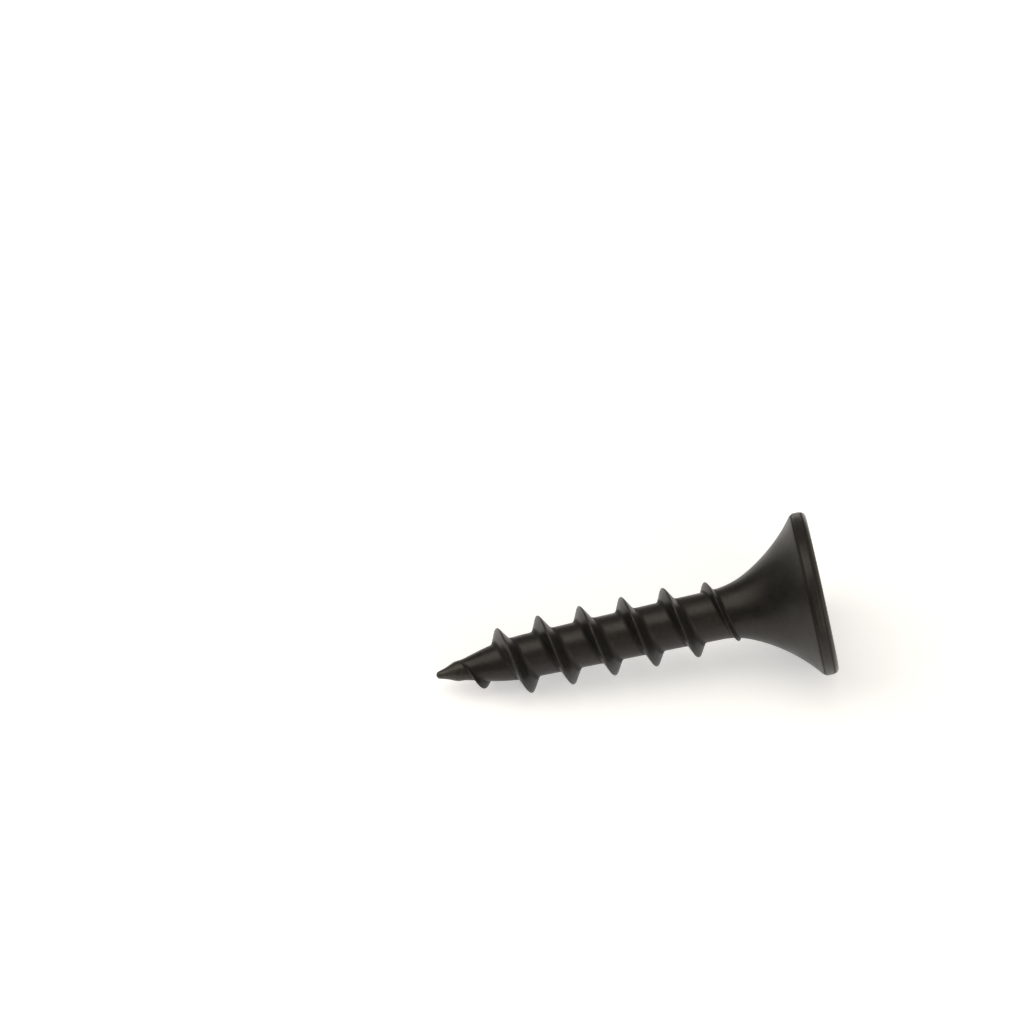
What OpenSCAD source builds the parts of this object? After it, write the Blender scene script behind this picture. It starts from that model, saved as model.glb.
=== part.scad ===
// Bugle-head wood screw with a cross recess and a right-hand thread, 19 mm long with an 8 mm head.
// The real screw is one piece of cold-formed steel: its nodes are the features that forming gives it.
// They meet face to face and none of them moves on another.
// The screw's axis is the X axis: the drive face is at x = 0 and looks along +X, and the tip points to -X.
// Every size is in millimetres. Depths are measured from the drive face towards the tip.

/* [Screw] */
// Length from the drive face to the end of the tip
screw_length = 19.05; // [17:0.05:30]
// Diameter of the root core where the head's flare begins
core_d = 2.44; // [2.3:0.02:2.5]
// Angle at which the core narrows towards the point
core_taper = 0.9; // [0.5:0.05:1]

/* [Head] */
// Diameter of the head over its rim
head_d = 8; // [7.8:0.05:8.4]
// Radius of the edge between the drive face and the rim
face_edge_r = 0.3; // [0.2:0.02:0.4]
// Height of the straight band around the rim
rim_h = 0.26; // [0.2:0.02:0.5]
// Radius of the edge between the rim and the flare
rim_edge_r = 0.3; // [0.2:0.02:0.4]
// Radius of the flare's curve on the side of the rim
flare_rim_r = 7.8; // [7.4:0.1:8.4]
// Radius of the flare's curve on the side of the shank
flare_neck_r = 3.66; // [3.2:0.02:4]
// Slope at which the flare passes from one curve to the other
flare_break = 24.5; // [22:0.5:27]

/* [Cross recess] */
// Span of the recess from wing end to wing end, at the face
recess_span = 4.6; // [4.2:0.05:4.9]
// Width of a wing at the face
wing_w = 1.4; // [1.2:0.05:1.6]
// Distance across the recess between opposite slanted corners, at the face
corner_span = 3.17; // [3:0.01:3.4]
// Depth of the drafted walls
recess_depth = 2.2; // [1.8:0.05:2.4]
// Depth of the pointed floor below the walls
floor_depth = 0.5; // [0.3:0.05:0.6]
// Draft of the wing ends
end_draft = 26.5; // [24:0.5:27]
// Draft of the wing sides
side_draft = 3.5; // [2:0.5:5]
// Draft of the slanted corners
corner_draft = 12; // [10:0.5:14]

/* [Thread] */
// Diameter over the thread's crests
thread_d = 3.66; // [3.5:0.01:3.7]
// Advance of the thread in one turn
pitch = 2.06; // [1.95:0.01:2.4]
// Most that the ridge stands above the core
ridge_h = 0.72; // [0.6:0.01:0.75]
// Slope of the flank that faces the tip, from square to the axis
tip_flank = 23; // [20:1:30]
// Slope of the flank that faces the head, from square to the axis
head_flank = 30; // [27:1:40]
// Width of the flat on the crest
crest_w = 0.08; // [0.03:0.01:0.12]
// Size of the fillets between the flanks and the core
root_fillet = 0.2; // [0.1:0.01:0.24]
// Depth at which the thread has run out under the head
runout_depth = 3.7; // [3.6:0.05:4]
// Length over which the thread runs out under the head
runout_length = 2.4; // [2:0.05:3]
// Distance from the end of the tip to the thread's start
start_gap = 1.15; // [1:0.05:1.5]
// Length over which the thread grows from its start, fast at first
start_length = 3; // [2.4:0.05:3.2]
// Most by which the first turn at the point leads the even pitch of the others
start_lead = 0.2; // [0:0.05:0.3]
// Depth at which a crest crosses the clock angle
clock_depth = 9.53; // [8:0.01:11]
// Angle about the axis of that crossing, from +Z towards +Y
clock_angle = 48.5; // [0:0.5:360]

/* [Point] */
// Half angle of the point's cone
point_angle = 15.1; // [14:0.1:17]
// Radius of the nose at the end of the tip
nose_r = 0.19; // [0.12:0.01:0.24]
// Radius of the blend between the core and the point's cone
point_blend_r = 10; // [6:0.5:12]

/* [Hidden] */

BLACK_STEEL = [0.17, 0.165, 0.155];
// Straight steps that an arc of an outline is divided into
ARC_STEPS = 10;
// Facets of a full turn of the thread
TURN_STEPS = 40;
// Least height of the thread's ridge, which it has at its two ends
END_H = 0.01;
// Where the first turn's lead begins, back from the thread's start, and the length over which it grows
LEAD_BACK = 2.2;
LEAD_LENGTH = 1.4;
// How far a cutter stands clear of the face that it cuts
CLEAR = 0.2;
$fn = 96;

head_r = head_d / 2;
core_r = core_d / 2;
thread_r = thread_d / 2;

// The flare: its slope where it meets the rim's edge, and the length of each of its curves
edge_slope = acos((core_r + flare_neck_r * (1 - cos(flare_break)) + flare_rim_r * cos(flare_break)
    + rim_edge_r - head_r) / (flare_rim_r + rim_edge_r));
edge_run = rim_edge_r * sin(edge_slope);
rim_run = flare_rim_r * (sin(edge_slope) - sin(flare_break));
neck_run = flare_neck_r * sin(flare_break);
rim_end = face_edge_r + rim_h;
break_depth = rim_end + edge_run + rim_run;
head_h = break_depth + neck_run;

// The point: its cone's apex, the corner that the cone makes with the core, and the ends of the blend there
apex = screw_length + nose_r * (1 / sin(point_angle) - 1);
corner = (apex * tan(point_angle) - core_r - head_h * tan(core_taper))
    / (tan(point_angle) - tan(core_taper));
blend_start = corner - point_blend_r * tan((point_angle - core_taper) / 2) * cos(core_taper);
blend_end = blend_start + point_blend_r * (sin(point_angle) - sin(core_taper));
blend_start_r = core_r - (blend_start - head_h) * tan(core_taper);

// The thread: its length along the axis and its sections
thread_start = screw_length - start_gap;
thread_length = thread_start - runout_depth;
section_count = ceil(thread_length / pitch * TURN_STEPS);

// Outlines are lists of [radius, depth]. Each slope is the angle between the outline and the axis.

// The angles of an arc from one slope to another
function slopes(from, to) = [for (i = [0:ARC_STEPS]) from + (to - from) * i / ARC_STEPS];

// Drive face edge, rim and flare, from the face to the neck
function head_side() = concat(
    [for (a = slopes(90, 0)) [head_r - face_edge_r * (1 - cos(a)), face_edge_r * (1 - sin(a))]],
    [for (a = slopes(0, edge_slope)) [head_r - rim_edge_r * (1 - cos(a)), rim_end + rim_edge_r * sin(a)]],
    [for (a = slopes(edge_slope, flare_break)) if (a < edge_slope) flare_rim_point(a)],
    [for (a = slopes(flare_break, 0)) if (a < flare_break) flare_neck_point(a)]
);

function flare_rim_point(a) = [
    flare_neck_point(flare_break)[0] + flare_rim_r * (cos(flare_break) - cos(a)),
    flare_neck_point(flare_break)[1] - flare_rim_r * (sin(a) - sin(flare_break))
];

function flare_neck_point(a) = [core_r + flare_neck_r * (1 - cos(a)), head_h - flare_neck_r * sin(a)];

// Blend, cone and rounded nose, from the core to the axis
function point_side() = concat(
    [for (a = slopes(core_taper, point_angle)) blend_point(a)],
    [for (a = slopes(point_angle, 90)) [nose_r * cos(a), screw_length - nose_r * (1 - sin(a))]]
);

function blend_point(a) = [
    blend_start_r - point_blend_r * (cos(core_taper) - cos(a)),
    blend_start + point_blend_r * (sin(a) - sin(core_taper))
];

// Radius of the bare steel under the thread at a depth, from the flare to the point's cone
function steel_r(depth) =
    depth < break_depth ? flare_rim_point(asin(sin(flare_break) + (break_depth - depth) / flare_rim_r))[0]
    : depth < head_h ? flare_neck_point(asin((head_h - depth) / flare_neck_r))[0]
    : depth < blend_start ? core_r - (depth - head_h) * tan(core_taper)
    : depth < blend_end ? blend_point(asin(sin(core_taper) + (depth - blend_start) / point_blend_r))[0]
    : (apex - depth) * tan(point_angle);

// Curves from 0 to 1: one that is fast at first, and one that is slow at both ends
function ease_out(t) = let (u = min(1, max(0, t))) u * (2 - u);
function smooth_step(t) = let (u = min(1, max(0, t))) u * u * (3 - 2 * u);

// Angle about the axis at which the crest crosses a depth
function ridge_turn(depth) =
    let (lead = start_lead * smooth_step((depth - thread_start + LEAD_BACK) / LEAD_LENGTH))
    clock_angle + 360 * (depth - lead - clock_depth) / pitch;

// Share of its full height that the ridge has at a depth
function ridge_share(depth) = min(
    1,
    (depth - runout_depth) / runout_length,
    ease_out((thread_start - depth) / start_length)
);

function ridge_height(depth) = max(END_H, ridge_share(depth) * min(ridge_h, thread_r - steel_r(depth)));

// One side of the ridge's section, from its foot to its crest: lists of [offset along the axis, height]
function flank(height, slope, side) =
    let (
        fillet = root_fillet * height / ridge_h,
        half_crest = crest_w / 2 * height / ridge_h,
        foot = half_crest + height * tan(slope),
        start = [foot + fillet, 0],
        end = [foot - fillet * sin(slope), fillet * cos(slope)],
        middle = (start + 2 * [foot, 0] + end) / 4
    )
    [for (p = [start, middle, end, [half_crest, height]]) [side * p[0], p[1]]];

// The whole section: up the tip side, down the head side, and back through a point under the crest
function section(height) =
    let (
        tip_side = flank(height, tip_flank, 1),
        head_side = flank(height, head_flank, -1)
    )
    concat(tip_side, [for (i = [len(head_side) - 1:-1:0]) head_side[i]], [[0, 0]]);

// A section set on the steel at a depth, at its own angle about the axis
function placed_section(depth) =
    let (turn = ridge_turn(depth))
    [for (p = section(ridge_height(depth)))
        let (r = steel_r(depth + p[0]) + p[1])
        [r * cos(turn), r * sin(turn), depth + p[0]]];

// Puts a shape made along +Z, with depth growing upwards, on the screw's own axis
module on_axis() {
    rotate([0, -90, 0]) children();
}

// A block whose half sizes at the face shrink with depth by a draft each way
module drafted_block(half_x, half_y, draft_x, draft_y) {
    levels = [-CLEAR, recess_depth];
    corners = [for (z = levels, s = [[-1, -1], [1, -1], [1, 1], [-1, 1]])
        [s[0] * (half_x - z * tan(draft_x)), s[1] * (half_y - z * tan(draft_y)), z]];
    sides = [for (i = [0:3]) [i, i + 4, (i + 1) % 4 + 4, (i + 1) % 4]];
    polyhedron(corners, concat([[0, 1, 2, 3], [7, 6, 5, 4]], sides));
}

module cross_recess() {
    corner_r = corner_span / 2 - recess_depth * tan(corner_draft);
    wing_r = recess_span / 2 - recess_depth * tan(end_draft);
    floor_r = min(corner_r, wing_r) - CLEAR / 2;
    intersection() {
        drafted_block(recess_span / 2, recess_span / 2, end_draft, end_draft);
        union() {
            drafted_block(recess_span, wing_w / 2, 0, side_draft);
            drafted_block(wing_w / 2, recess_span, side_draft, 0);
            rotate(45) drafted_block(corner_span / 2, corner_span / 2, corner_draft, corner_draft);
        }
    }
    translate([0, 0, recess_depth - CLEAR])
        cylinder(h = CLEAR, r = floor_r);
    translate([0, 0, recess_depth])
        cylinder(h = floor_depth, r1 = floor_r, r2 = 0);
}

module head() {
    color(BLACK_STEEL)
    on_axis()
    difference() {
        rotate_extrude() polygon(concat([[0, head_h], [0, 0]], head_side()));
        cross_recess();
    }
}

module shank() {
    color(BLACK_STEEL)
    on_axis()
    rotate_extrude() polygon([
        [0, head_h],
        [core_r, head_h],
        [blend_start_r, blend_start],
        [0, blend_start]
    ]);
}

module thread() {
    rings = [for (i = [0:section_count]) placed_section(runout_depth + thread_length * i / section_count)];
    count = len(rings[0]);
    walls = [for (i = [0:section_count - 1], j = [0:count - 1])
        let (a = i * count + j, b = i * count + (j + 1) % count)
        each [[a, a + count, b], [b, a + count, b + count]]];
    first_end = [for (j = [0:count - 1]) j];
    last_end = [for (j = [count - 1:-1:0]) section_count * count + j];
    color(BLACK_STEEL)
    on_axis()
    polyhedron([for (ring = rings) each ring], concat(walls, [first_end, last_end]));
}

module point() {
    color(BLACK_STEEL)
    on_axis()
    rotate_extrude() polygon(concat([[0, blend_start]], point_side()));
}

head();
shank();
thread();
point();
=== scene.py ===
"""A bugle-head wood screw in black coated steel: head with a cross recess, shank, thread and point."""
import math

import bmesh
import bpy
from mathutils import Matrix, Vector, noise


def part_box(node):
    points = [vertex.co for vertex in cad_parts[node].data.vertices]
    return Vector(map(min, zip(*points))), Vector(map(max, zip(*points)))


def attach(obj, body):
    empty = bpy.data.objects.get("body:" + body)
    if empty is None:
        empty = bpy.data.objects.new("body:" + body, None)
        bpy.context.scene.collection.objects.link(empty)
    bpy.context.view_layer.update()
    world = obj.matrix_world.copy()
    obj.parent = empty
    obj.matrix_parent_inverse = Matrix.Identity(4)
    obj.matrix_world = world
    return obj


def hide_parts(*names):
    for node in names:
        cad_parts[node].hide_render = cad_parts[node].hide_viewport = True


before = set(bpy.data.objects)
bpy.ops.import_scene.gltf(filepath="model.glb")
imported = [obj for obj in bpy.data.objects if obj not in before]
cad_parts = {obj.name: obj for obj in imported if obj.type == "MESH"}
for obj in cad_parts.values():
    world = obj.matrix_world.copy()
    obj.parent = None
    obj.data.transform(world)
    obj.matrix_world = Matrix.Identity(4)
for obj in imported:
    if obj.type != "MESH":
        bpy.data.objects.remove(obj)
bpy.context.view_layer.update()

MM = 0.001
TAU = 2 * math.pi


def cad_box(node):
    """Lowest and highest corner of a CAD node, in millimetres."""
    low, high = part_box(node)
    return Vector(low) / MM, Vector(high) / MM


# ---- Sizes, in millimetres. Depths run from the drive face towards the tip. ----
LENGTH = -cad_box("point")[0].x
POINT_DEPTH = -cad_box("point")[1].x
HEAD_DEPTH = -cad_box("head")[0].x
HEAD_R = cad_box("head")[1].z
NECK_R = cad_box("shank")[1].z
THREAD_R = cad_box("thread")[1].z

# Head
FACE_EDGE_R = 0.30
RIM_EDGE_R = 0.30
FLARE_RIM_R = 7.8
FLARE_NECK_R = 3.66
FLARE_BREAK = math.radians(24.5)
# The forming die leaves two fine creases around the rim: (depth, how deep it is cut)
RIM_CREASES = ((0.23, 0.020), (0.71, 0.024))
CREASE_WIDTH = 0.045
RIM_R = HEAD_R - 0.2

# Cross recess
RECESS_HALF = 2.30
WING_HALF = 0.70
CORNER_SUM = 3.17 / math.sqrt(2)
RECESS_DEPTH = 2.20
FLOOR_DEPTH = 0.50
END_DRAFT = math.radians(26.5)
SIDE_DRAFT = math.radians(3.5)
CORNER_DRAFT = math.radians(12)
RECESS_ROUND = 0.05
# Bands of the face beside the recess and beside the rounded edge
MOUTH_BAND = 0.12
FACE_BAND = 0.12

# Thread
PITCH = 2.06
RIDGE_H = 0.72
TIP_FLANK = math.radians(23)
HEAD_FLANK = math.radians(30)
CREST_W = 0.08
CREST_R = 0.09
ROOT_FILLET = 0.20
RUNOUT_DEPTH = 3.7
RUNOUT_LENGTH = 2.4
START_DEPTH = LENGTH - 1.15
START_LENGTH = 3.0
# The first turn at the point leads the others by up to this much, over this length
START_LEAD = 0.2
LEAD_DEPTH = START_DEPTH - 2.2
LEAD_LENGTH = 1.4
CLOCK_DEPTH = 9.53
CLOCK_ANGLE = math.radians(48.5)
# How far the ridge's foot reaches into the steel
SINK = 0.05
# Least height of the ridge, which it has at its two ends
END_H = 0.01

# Shank and point
CORE_TAPER = math.radians(0.9)
POINT_ANGLE = math.radians(15.1)
NOSE_R = 0.19
POINT_BLEND_R = 10.0
# Where the dies pinch the point off they leave it a little fuller
SWELL = 0.07
SWELL_DEPTH = LENGTH - 0.95
SWELL_WIDTH = 0.30

# Unevenness that forging and rolling leave, and the width of its hollows. The face stays flat.
UNEVEN = 0.012
UNEVEN_WIDTH = 1.6
RECESS_CLEAR = 0.3

# How far each worn edge has lost its black, from 0 to 1
RIM_WEAR = 0.75
RIM_WORN = 0.14
CREST_WEAR = 0.2
# Share of that wear where the crest's curve begins
CREST_SHOULDER = 0.6
NOSE_WEAR = 1.0
NOSE_WORN = 2.0
# How much shade is painted into the thread's roots, the rim's creases and the recess's mouth, walls and
# floor
ROOT_SHADE = 0.9
CREASE_SHADE = 1.0
MOUTH_SHADE = 0.4
RECESS_SHADE = 1.0

# Mesh resolution
HEAD_TURN = 256
CORE_TURN = 192
THREAD_TURN = 128
ARC_STEPS = 14
SHANK_STEPS = 40
POINT_STEPS = 60
FILLET_STEPS = 8
# Where points lie along the ridge's flank, its crest's curve and its foot, from 0 to 1
FLANK_SHARES = (0.3, 0.6, 0.8)
CREST_SHARES = (0.25, 0.5, 0.75)
FOOT_SHARES = (0.02, 0.5, 0.98)
SHARP_ANGLE = math.radians(35)
SEED = Vector((3.1, 7.7, 1.3))
# Blender's noise starts from the clock unless it is given a seed
NOISE_SEED = 11
noise.seed_set(NOISE_SEED)
# A radius under this is a point on the axis
ON_AXIS = 1e-6


# ---- Outlines ----
def arc(start, end, steps=ARC_STEPS):
    """Evenly spaced values from start to end: slopes of a round stretch, or depths of a straight one."""
    return [start + (end - start) * i / steps for i in range(steps + 1)]


def flare_neck_point(slope):
    radius = NECK_R + FLARE_NECK_R * (1 - math.cos(slope))
    return radius, HEAD_DEPTH - FLARE_NECK_R * math.sin(slope)


def flare_rim_point(slope):
    radius, depth = flare_neck_point(FLARE_BREAK)
    radius += FLARE_RIM_R * (math.cos(FLARE_BREAK) - math.cos(slope))
    return radius, depth - FLARE_RIM_R * (math.sin(slope) - math.sin(FLARE_BREAK))


def crease(depth, centre):
    """How far into a crease a depth lies, from 0 to 1 at its middle."""
    return math.exp(-((depth - centre) / CREASE_WIDTH) ** 2)


def creased(radius, depth):
    """The rim's outline with its creases pressed in."""
    return radius - sum(cut * crease(depth, centre) for centre, cut in RIM_CREASES), depth


def head_outline():
    """From the neck along the flare and over the rim to the flat face: (radius, depth) points."""
    top = NECK_R + FLARE_NECK_R * (1 - math.cos(FLARE_BREAK)) + FLARE_RIM_R * math.cos(FLARE_BREAK)
    edge_slope = math.acos((top + RIM_EDGE_R - HEAD_R) / (FLARE_RIM_R + RIM_EDGE_R))
    rim_end = flare_rim_point(edge_slope)[1] - RIM_EDGE_R * math.sin(edge_slope)
    points = [flare_neck_point(a) for a in arc(0, FLARE_BREAK)]
    points += [flare_rim_point(a) for a in arc(FLARE_BREAK, edge_slope, 2 * ARC_STEPS)[1:]]
    rim = [
        (HEAD_R - RIM_EDGE_R * (1 - math.cos(a)), rim_end + RIM_EDGE_R * math.sin(a))
        for a in arc(edge_slope, 0)[1:]
    ]
    rim += [(HEAD_R, d) for d in arc(rim_end, FACE_EDGE_R)[1:]]
    rim += [
        (HEAD_R - FACE_EDGE_R * (1 - math.cos(a)), FACE_EDGE_R * (1 - math.sin(a)))
        for a in arc(0, math.pi / 2, 2 * ARC_STEPS)[1:]
    ]
    return points + [creased(r, d) for r, d in rim]


BREAK_DEPTH = flare_neck_point(FLARE_BREAK)[1]
APEX = LENGTH + NOSE_R * (1 / math.sin(POINT_ANGLE) - 1)
BLEND_R = NECK_R - (POINT_DEPTH - HEAD_DEPTH) * math.tan(CORE_TAPER)
BLEND_END = POINT_DEPTH + POINT_BLEND_R * (math.sin(POINT_ANGLE) - math.sin(CORE_TAPER))


def steel_r(depth):
    """Radius of the bare steel under the thread, from the flare's neck to the point's cone."""
    if depth < BREAK_DEPTH:
        return flare_rim_point(math.asin(math.sin(FLARE_BREAK) + (BREAK_DEPTH - depth) / FLARE_RIM_R))[0]
    if depth < HEAD_DEPTH:
        return flare_neck_point(math.asin((HEAD_DEPTH - depth) / FLARE_NECK_R))[0]
    if depth < POINT_DEPTH:
        return NECK_R - (depth - HEAD_DEPTH) * math.tan(CORE_TAPER)
    if depth < BLEND_END:
        slope = math.asin(math.sin(CORE_TAPER) + (depth - POINT_DEPTH) / POINT_BLEND_R)
        return BLEND_R - POINT_BLEND_R * (math.cos(CORE_TAPER) - math.cos(slope))
    return (APEX - depth) * math.tan(POINT_ANGLE)


def shank_outline():
    return [(steel_r(d), d) for d in arc(HEAD_DEPTH, POINT_DEPTH, SHANK_STEPS)]


def point_outline():
    nose_start = LENGTH - NOSE_R * (1 - math.sin(POINT_ANGLE))
    points = [
        (steel_r(d) + SWELL * math.exp(-((d - SWELL_DEPTH) / SWELL_WIDTH) ** 2), d)
        for d in arc(POINT_DEPTH, nose_start, POINT_STEPS)[:-1]
    ]
    points += [
        (NOSE_R * math.cos(a), LENGTH - NOSE_R * (1 - math.sin(a)))
        for a in arc(POINT_ANGLE, math.pi / 2)
    ]
    return points


# ---- Mesh tools ----
def at(radius, angle, depth):
    """A point on the screw, in millimetres. Angles run from +Z towards +Y."""
    return Vector((-depth, radius * math.sin(angle), radius * math.cos(angle)))


def smooth_step(value):
    t = min(1, max(0, value))
    return t * t * (3 - 2 * t)


def formed(point):
    """The point as forging and rolling leave it, a little uneven."""
    depth = -point.x
    inside = smooth_step((depth - RECESS_CLEAR) / RECESS_CLEAR)
    uneven = UNEVEN * inside * noise.noise_vector(point / UNEVEN_WIDTH + SEED)
    return point + uneven


def new_mesh():
    """An empty bmesh, and the layer that gives each vertex its wear (above zero) and its painted shade
    (below zero).
    """
    bm = bmesh.new()
    return bm, bm.verts.layers.float.new("wear_and_shade")


def add_ring(bm, points, layer, wear_and_shade=0.0):
    ring = [bm.verts.new(p) for p in points]
    for vert in ring:
        vert[layer] = wear_and_shade
    return ring


def join_rings(bm, first, second):
    """Quads between two rings of the same length."""
    count = len(first)
    for i in range(count):
        j = (i + 1) % count
        bm.faces.new((first[i], first[j], second[j], second[i]))


def finished(bm, name):
    """Turns a closed bmesh in millimetres into a smooth object in metres."""
    bmesh.ops.recalc_face_normals(bm, faces=bm.faces)
    bmesh.ops.scale(bm, vec=Vector((MM, MM, MM)), verts=bm.verts)
    mesh = bpy.data.meshes.new(name)
    bm.to_mesh(mesh)
    bm.free()
    for polygon in mesh.polygons:
        polygon.use_smooth = True
    mesh.set_sharp_from_angle(angle=SHARP_ANGLE)
    piece = bpy.data.objects.new(name, mesh)
    bpy.context.scene.collection.objects.link(piece)
    return piece


# ---- Pieces ----
def recess_ring(depth, grow=0.0):
    """The cross's sixteen corners at a depth, as (y, z), moved outwards by an amount."""
    end = RECESS_HALF + grow - depth * math.tan(END_DRAFT)
    side = WING_HALF + grow - depth * math.tan(SIDE_DRAFT)
    inner = CORNER_SUM + math.sqrt(2) * (grow - depth * math.tan(CORNER_DRAFT)) - side
    arm = [(end, -side), (end, side), (inner, side), (side, inner)]
    ring = []
    for quarter in range(4):
        turn = Matrix.Rotation(quarter * TAU / 4, 2)
        ring += [turn @ Vector(p) for p in arm]
    return ring


def add_flat_face(bm, edge, mouth):
    """The face between a turned edge and the cross's band, in one sector for each side of the cross."""
    spokes = [
        round(math.atan2(v.co.y, v.co.z) / TAU * HEAD_TURN) % HEAD_TURN
        for v in mouth
    ]
    for k in range(len(mouth)):
        n = (k + 1) % len(mouth)
        step = 1 if (spokes[n] - spokes[k]) % HEAD_TURN < HEAD_TURN / 2 else -1
        span = (spokes[n] - spokes[k]) * step % HEAD_TURN
        rim = [edge[(spokes[k] + step * i) % HEAD_TURN] for i in range(span + 1)]
        bm.faces.new([mouth[n], mouth[k]] + rim)


def add_recess(bm, layer):
    """The recess's walls and pointed floor with rounded edges and painted shade. Gives the ring of its band
    on the face.
    """
    # painted shade: a little at the mouth, growing down the walls to the full amount at the floor
    rings = ((0, MOUTH_BAND, 0), (0, 0, -MOUTH_SHADE), (RECESS_DEPTH, 0, -RECESS_SHADE))
    band, mouth, floor = (
        add_ring(bm, [Vector((-depth, y, z)) for y, z in recess_ring(depth, grow)], layer, wear_and_shade)
        for depth, grow, wear_and_shade in rings
    )
    bottom = add_ring(bm, [at(0, 0, RECESS_DEPTH + FLOOR_DEPTH)], layer, -RECESS_SHADE)[0]
    join_rings(bm, band, mouth)
    join_rings(bm, mouth, floor)
    for k in range(len(floor)):
        bm.faces.new((floor[k], floor[(k + 1) % len(floor)], bottom))
    bmesh.ops.recalc_face_normals(bm, faces=bm.faces)
    corners = set(mouth + floor)
    rounded = [e for e in bm.edges if set(e.verts) <= corners]
    bmesh.ops.bevel(
        bm, geom=rounded, offset=RECESS_ROUND, offset_type="OFFSET", segments=4, profile=0.5,
        affect="EDGES", clamp_overlap=True,
    )
    return band


def make_head():
    bm, layer = new_mesh()
    rings = []
    for radius, depth in head_outline():
        # painted shade in the rim's creases, and wear at the face's edge
        painted_shade = max(crease(depth, centre) for centre, _ in RIM_CREASES) if radius > RIM_R else 0
        wear_shade_level = (RIM_WEAR if depth < RIM_WORN else 0) - CREASE_SHADE * painted_shade
        points = [formed(at(radius, TAU * i / HEAD_TURN, depth)) for i in range(HEAD_TURN)]
        rings.append(add_ring(bm, points, layer, wear_shade_level))
    inner = HEAD_R - FACE_EDGE_R - FACE_BAND
    rings.append(add_ring(bm, [at(inner, TAU * i / HEAD_TURN, 0) for i in range(HEAD_TURN)], layer))
    for first, second in zip(rings, rings[1:]):
        join_rings(bm, first, second)
    bm.faces.new(rings[0])
    add_flat_face(bm, rings[-1], add_recess(bm, layer))
    return finished(bm, "head_shell")


def lathe(name, outline, turn):
    """A closed turned solid. An outline point on the axis becomes one vertex."""
    bm, layer = new_mesh()
    rings = []
    for radius, depth in outline:
        count = turn if radius > ON_AXIS else 1
        wear_shade_level = NOSE_WEAR * smooth_step((depth - LENGTH + NOSE_WORN) / NOSE_WORN)
        points = [formed(at(radius, TAU * i / turn, depth)) for i in range(count)]
        rings.append(add_ring(bm, points, layer, wear_shade_level))
    for first, second in zip(rings, rings[1:]):
        if len(second) == 1:
            for i in range(turn):
                bm.faces.new((first[i], first[(i + 1) % turn], second[0]))
        else:
            join_rings(bm, first, second)
    for ring in (rings[0], rings[-1]):
        if len(ring) > 1:
            bm.faces.new(ring)
    return finished(bm, name)


def ease_out(value):
    t = min(1, max(0, value))
    return t * (2 - t)


def ridge_angle(depth):
    lead = START_LEAD * smooth_step((depth - LEAD_DEPTH) / LEAD_LENGTH)
    return CLOCK_ANGLE + TAU * (depth - lead - CLOCK_DEPTH) / PITCH


def ridge_height(depth):
    share = min(
        1,
        (depth - RUNOUT_DEPTH) / RUNOUT_LENGTH,
        ease_out((START_DEPTH - depth) / START_LENGTH),
    )
    return max(END_H, share * min(RIDGE_H, THREAD_R - steel_r(depth)))


def bent(start, corner, end, share):
    """A point of the curve that leaves start and reaches end, both along the sides of a corner."""
    return (1 - share) ** 2 * start + 2 * share * (1 - share) * corner + share ** 2 * end


def flank(height, slope, side):
    """One side of the ridge's section from its foot to its crest: (offset, height, wear and painted shade).
    """
    scale = height / RIDGE_H
    fillet = ROOT_FILLET * scale
    crest_round = CREST_R * scale
    half_crest = Vector((CREST_W / 2 * scale, 0))
    up = Vector((-math.sin(slope), math.cos(slope)))
    corner = half_crest + Vector((height * math.tan(slope), 0))
    foot, end = corner + Vector((fillet, 0)), corner + fillet * up
    top = half_crest + Vector((0, height))
    crest = top - crest_round * up
    # the fillet at the foot carries painted shade (below zero), the crest carries wear (above zero)
    points = [(bent(foot, corner, end, t), -math.sin(math.pi * t)) for t in arc(0, 1, FILLET_STEPS)]
    points += [(end.lerp(crest, t), 0) for t in FLANK_SHARES]
    points += [(crest, CREST_SHOULDER)]
    points += [(bent(crest, top, Vector((0, height)), t), 1) for t in CREST_SHARES]
    return [(side * p.x, p.y, wear_shade_level) for p, wear_shade_level in points]


def thread_section(depth):
    """The ridge's whole section at a depth: (offset along the axis, height over the steel, wear and painted
    shade).
    """
    height = ridge_height(depth)
    outer = flank(height, TIP_FLANK, 1) + flank(height, HEAD_FLANK, -1)[::-1]
    first, last = outer[0][0], outer[-1][0]
    base = [(last + (first - last) * t, -SINK, 0) for t in FOOT_SHARES]
    return outer + base


def make_thread():
    bm, layer = new_mesh()
    length = START_DEPTH - RUNOUT_DEPTH
    count = math.ceil(length / PITCH * THREAD_TURN)
    rings = []
    for i in range(count + 1):
        depth = RUNOUT_DEPTH + length * i / count
        angle = ridge_angle(depth)
        section = thread_section(depth)
        ring = add_ring(bm, [
            formed(at(steel_r(depth + along) + rise, angle, depth + along))
            for along, rise, wear_shade_level in section
        ], layer)
        for vert, (along, rise, wear_shade_level) in zip(ring, section):
            # crest wear above zero, painted shade in the roots below zero
            vert[layer] = wear_shade_level * (CREST_WEAR if wear_shade_level > 0 else ROOT_SHADE)
        rings.append(ring)
    for first, second in zip(rings, rings[1:]):
        join_rings(bm, first, second)
    bm.faces.new(rings[0])
    bm.faces.new(rings[-1])
    return finished(bm, "thread_ridge")


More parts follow.
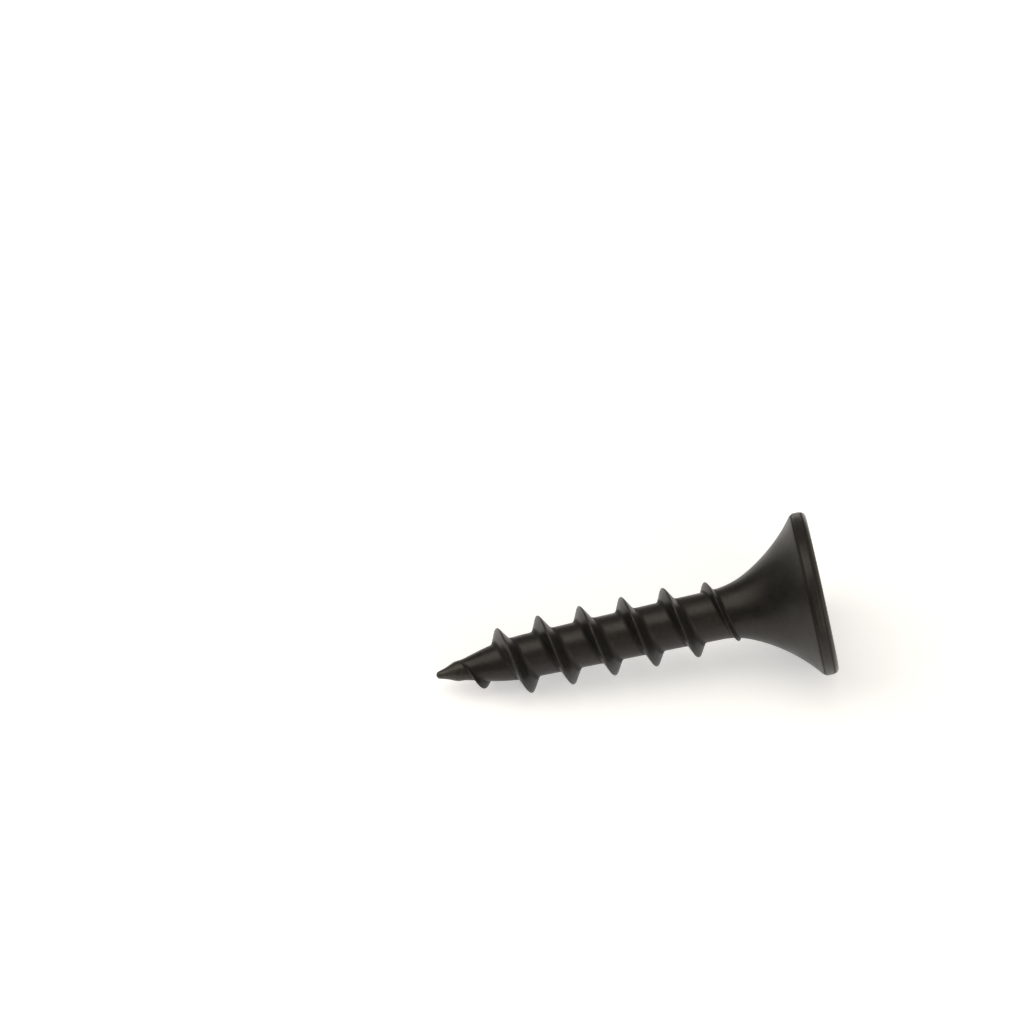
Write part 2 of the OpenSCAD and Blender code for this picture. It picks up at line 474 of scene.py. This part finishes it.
# ---- Materials ----
class Shading:
    """Short ways to add nodes to one material."""

    def __init__(self, name):
        self.material = bpy.data.materials.new(name)
        self.material.use_nodes = True
        self.tree = self.material.node_tree
        self.shader = self.tree.nodes["Principled BSDF"]

    def node(self, kind, **inputs):
        node = self.tree.nodes.new(kind)
        for name, value in inputs.items():
            self.put(node.inputs[name.replace("_", " ")], value)
        return node

    def put(self, socket, value):
        if isinstance(value, bpy.types.NodeSocket):
            self.tree.links.new(value, socket)
        else:
            socket.default_value = value

    def maths(self, operation, *values):
        node = self.tree.nodes.new("ShaderNodeMath")
        node.operation = operation
        for socket, value in zip(node.inputs, values):
            self.put(socket, value)
        return node.outputs[0]

    def vector_maths(self, operation, *values, **named):
        node = self.tree.nodes.new("ShaderNodeVectorMath")
        node.operation = operation
        for socket, value in zip(node.inputs, values):
            self.put(socket, value)
        for name, value in named.items():
            self.put(node.inputs[name], value)
        return node.outputs["Value" if operation == "LENGTH" else "Vector"]

    def noise(self, vector, size, detail, roughness=0.5):
        """Smooth noise from 0 to 1 with features of a size in millimetres."""
        node = self.node(
            "ShaderNodeTexNoise", Vector=vector, Scale=1 / size, Detail=detail, Roughness=roughness
        )
        return node.outputs["Fac"]

    def crystals(self, vector, size):
        """Distance from the middle of each crystal of a size in millimetres."""
        return self.node("ShaderNodeTexVoronoi", Vector=vector, Scale=1 / size).outputs["Distance"]

    def spread(self, value, low, high, to_low=0.0, to_high=1.0):
        node = self.tree.nodes.new("ShaderNodeMapRange")
        for socket, given in zip(node.inputs, (value, low, high, to_low, to_high)):
            self.put(socket, given)
        return node.outputs["Result"]

    def mix(self, factor, first, second):
        node = self.tree.nodes.new("ShaderNodeMix")
        node.data_type = "RGBA"
        self.put(node.inputs["Factor"], factor)
        self.put(node.inputs["A"], first)
        self.put(node.inputs["B"], second)
        return node.outputs["Result"]


# Colours of the coating where it is darkest and lightest, of the painted shade in its roots, creases and
# recess, and of the steel that shows through
COAT_DARK = (0.0068, 0.0064, 0.0056, 1)
COAT_LIGHT = (0.0160, 0.0150, 0.0128, 1)
SHADE_COLOUR = (0.0030, 0.0027, 0.0022, 1)
WORN_STEEL = (0.055, 0.051, 0.044, 1)
# Sizes of the coating's unevenness, in millimetres
CLOUD_SIZE = 0.9
MOTTLE_SIZE = 0.22
GRAIN_SIZE = 0.05
CRYSTAL_SIZE = 0.045
MARK_SIZE = 0.07
# Roughness of the coating, what it gains where shade is painted and what rubbing takes away
LEAST_ROUGH = 0.30
MOST_ROUGH = 0.44
SHADE_ROUGH = 0.3
RUBBED_SMOOTH = 0.1
# Heights of the relief, in millimetres
MOTTLE_RELIEF = 0.0040
GRAIN_RELIEF = 0.0020
CRYSTAL_RELIEF = 0.0012
MARK_RELIEF = 0.0008


def black_steel():
    """A black coating over steel: a dull, very slightly warm black of fine crystals."""
    look = Shading("black_coating")
    place = look.node("ShaderNodeTexCoord").outputs["Object"]
    place = look.vector_maths("SCALE", place, Scale=1 / MM)

    clouds = look.noise(place, CLOUD_SIZE, 3)
    mottle = look.noise(place, MOTTLE_SIZE, 4, 0.6)
    grain = look.noise(place, GRAIN_SIZE, 3, 0.6)
    crystals = look.crystals(place, CRYSTAL_SIZE)

    # marks of the dies run round the axis, so they depend on the depth and the radius alone
    axes = look.node("ShaderNodeSeparateXYZ", Vector=place)
    across = look.node("ShaderNodeCombineXYZ", Y=axes.outputs["Y"], Z=axes.outputs["Z"])
    radius = look.vector_maths("LENGTH", across.outputs["Vector"])
    wobble = look.maths("MULTIPLY", clouds, 0.25)
    turned = look.node("ShaderNodeCombineXYZ", X=look.maths("ADD", axes.outputs["X"], wobble), Y=radius)
    marks = look.noise(turned.outputs["Vector"], MARK_SIZE, 2)

    wear_and_shade = look.node("ShaderNodeAttribute")
    wear_and_shade.attribute_name = "wear_and_shade"
    rubbed = look.maths("MULTIPLY", look.maths("MAXIMUM", wear_and_shade.outputs["Fac"], 0.0),
                        look.spread(mottle, 0.3, 0.65, 0.4, 1.0))
    # painted shade, where the layer is below zero
    painted_shade = look.maths("MAXIMUM", look.maths("MULTIPLY", wear_and_shade.outputs["Fac"], -1.0), 0.0)

    tone = look.maths("ADD", look.maths("MULTIPLY", mottle, 0.55), look.maths("MULTIPLY", grain, 0.45))
    coat = look.mix(look.spread(tone, 0.36, 0.64), COAT_DARK, COAT_LIGHT)
    # the painted shade darkens the coating's colour
    coat = look.mix(painted_shade, coat, SHADE_COLOUR)
    look.put(look.shader.inputs["Base Color"], look.mix(rubbed, coat, WORN_STEEL))

    dull = look.maths("ADD", look.maths("MULTIPLY", clouds, 0.6), look.maths("MULTIPLY", grain, 0.4))
    dull = look.spread(dull, 0.32, 0.68, LEAST_ROUGH, MOST_ROUGH)
    dull = look.maths("ADD", dull, look.maths("MULTIPLY", painted_shade, SHADE_ROUGH))
    dull = look.maths("SUBTRACT", dull, look.maths("MULTIPLY", rubbed, RUBBED_SMOOTH))
    look.put(look.shader.inputs["Roughness"], dull)
    look.shader.inputs["Specular IOR Level"].default_value = 0.32
    look.shader.inputs["Specular Tint"].default_value = (1.0, 0.94, 0.89, 1)

    relief = look.maths("MULTIPLY", mottle, MOTTLE_RELIEF)
    for part, height in ((grain, GRAIN_RELIEF), (crystals, CRYSTAL_RELIEF), (marks, MARK_RELIEF)):
        relief = look.maths("ADD", relief, look.maths("MULTIPLY", part, height))
    bump = look.node("ShaderNodeBump", Strength=1.0, Distance=MM, Height=relief)
    look.put(look.shader.inputs["Normal"], bump.outputs["Normal"])
    return look.material


# How strongly the floor glows, so that it stays white under a dim light
FLOOR_GLOW = 0.42


def pale_floor():
    look = Shading("pale_floor")
    look.shader.inputs["Base Color"].default_value = (0.8, 0.8, 0.8, 1)
    look.shader.inputs["Roughness"].default_value = 0.9
    look.shader.inputs["Emission Color"].default_value = (1, 1, 1, 1)
    look.shader.inputs["Emission Strength"].default_value = FLOOR_GLOW
    return look.material


# ---- The screw ----
steel = black_steel()
pieces = {
    "head": make_head(),
    "shank": lathe("shank_core", shank_outline(), CORE_TURN),
    "thread": make_thread(),
    "point": lathe("point_cone", point_outline(), CORE_TURN),
}
for node, piece in pieces.items():
    piece.data.materials.append(steel)
    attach(piece, "root")
    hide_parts(node)


# ---- Floor, camera and lights ----
# The crest that the screw rests on is at least this far from the rim
REST_SPAN = 5 * MM


def resting_line():
    """The line under the rim and the crest that the screw lies on: (height at x = 0, slope)."""
    low = [
        (v.co.x, v.co.z) for piece in pieces.values() for v in piece.data.vertices
        if v.co.z < 0
    ]
    rim = min(low, key=lambda p: p[1])
    slope = max((p[1] - rim[1]) / (p[0] - rim[0]) for p in low if p[0] < rim[0] - REST_SPAN)
    return rim[1] - slope * rim[0], slope


floor_height, floor_slope = resting_line()
tilt = math.atan(-floor_slope)
UP = Vector((math.sin(tilt), 0, math.cos(tilt)))
ALONG = Vector((math.cos(tilt), 0, -math.sin(tilt)))
ACROSS = UP.cross(ALONG)

CAMERA_ELEVATION = math.radians(52.108)
CAMERA_YAW = math.radians(8.713)
CAMERA_DISTANCE = 302.0163 * MM
LENS = 220
SENSOR = 36
OFFSET_RIGHT = 5.651 * MM
OFFSET_DOWN = 5.878 * MM

camera_data = bpy.data.cameras.new("camera")
camera_data.lens = LENS
camera_data.sensor_width = SENSOR
camera_data.clip_start = 0.001
camera_data.clip_end = 10
camera = bpy.data.objects.new("camera", camera_data)
bpy.context.scene.collection.objects.link(camera)
bpy.context.scene.camera = camera

level = -math.sin(CAMERA_YAW) * ALONG - math.cos(CAMERA_YAW) * ACROSS
back = math.cos(CAMERA_ELEVATION) * level + math.sin(CAMERA_ELEVATION) * UP
right = UP.cross(back).normalized()
up = back.cross(right)
middle = Vector((-LENGTH / 2 * MM, 0, 0))
aim = middle - OFFSET_RIGHT * right + OFFSET_DOWN * up
turned = Matrix((right, up, back)).transposed().to_4x4()
camera.matrix_world = Matrix.Translation(aim + CAMERA_DISTANCE * back) @ turned

FLOOR_HALF = 26 * MM
floor_middle = Vector((0, 0, floor_height)) - LENGTH / 2 * MM * ALONG
floor_corners = [
    floor_middle + s * FLOOR_HALF * ALONG + t * FLOOR_HALF * ACROSS
    for s, t in ((-1, -1), (1, -1), (1, 1), (-1, 1))
]
floor_mesh = bpy.data.meshes.new("floor")
floor_mesh.from_pydata(floor_corners, [], [(0, 1, 2, 3)])
floor = bpy.data.objects.new("floor", floor_mesh)
floor_mesh.materials.append(pale_floor())
bpy.context.scene.collection.objects.link(floor)


WARM = (1.0, 0.955, 0.87)
LIGHT_DISTANCE = 0.4


def softbox(name, turn, height, side, radiance):
    """A square soft light facing the screw: its turn from the head towards the camera, and its height."""
    turn, height = math.radians(turn), math.radians(height)
    sideways = math.cos(turn) * ALONG - math.sin(turn) * ACROSS
    toward = math.cos(height) * sideways + math.sin(height) * UP
    across = toward.cross(ALONG).normalized()
    data = bpy.data.lights.new(name, "AREA")
    data.shape = "SQUARE"
    data.size = side
    data.energy = radiance * math.pi * side ** 2
    data.color = WARM
    light = bpy.data.objects.new(name, data)
    light.matrix_world = Matrix((across.cross(toward), across, toward)).transposed().to_4x4()
    light.location = middle + toward * LIGHT_DISTANCE
    bpy.context.scene.collection.objects.link(light)


softbox("key_light", turn=198, height=53, side=0.40, radiance=2.1)
softbox("top_light", turn=270, height=82, side=0.22, radiance=1.2)
softbox("fill_light", turn=62, height=20, side=0.34, radiance=1.9)

# The studio is dimmest beyond the tip and brightest beyond the head
STUDIO_DIM = 0.04
STUDIO_BRIGHT = 0.6
BEHIND_FLOOR = 1.1

world = bpy.data.worlds.new("studio")
bpy.context.scene.world = world
world.use_nodes = True
studio = world.node_tree
backdrop = studio.nodes["Background"]
backdrop.inputs["Color"].default_value = (*WARM, 1)
direction = studio.nodes.new("ShaderNodeTexCoord")
along = studio.nodes.new("ShaderNodeVectorMath")
along.operation = "DOT_PRODUCT"
along.inputs[1].default_value = ALONG
studio.links.new(direction.outputs["Generated"], along.inputs[0])
fade = studio.nodes.new("ShaderNodeMapRange")
fade.interpolation_type = "SMOOTHSTEP"
fade_range = {"From Min": -0.9, "From Max": 0.9, "To Min": STUDIO_DIM, "To Max": STUDIO_BRIGHT}
for name, value in fade_range.items():
    fade.inputs[name].default_value = value
studio.links.new(along.outputs["Value"], fade.inputs["Value"])
studio.links.new(fade.outputs["Result"], backdrop.inputs["Strength"])
# what shows behind the floor is as white as the floor, though it lights the screw less
white = studio.nodes.new("ShaderNodeBackground")
white.inputs["Color"].default_value = (1, 1, 1, 1)
white.inputs["Strength"].default_value = BEHIND_FLOOR
seen = studio.nodes.new("ShaderNodeLightPath")
choice = studio.nodes.new("ShaderNodeMixShader")
studio.links.new(seen.outputs["Is Camera Ray"], choice.inputs["Fac"])
studio.links.new(backdrop.outputs["Background"], choice.inputs[1])
studio.links.new(white.outputs["Background"], choice.inputs[2])
studio.links.new(choice.outputs["Shader"], studio.nodes["World Output"].inputs["Surface"])
bpy.context.scene.view_settings.view_transform = "Standard"
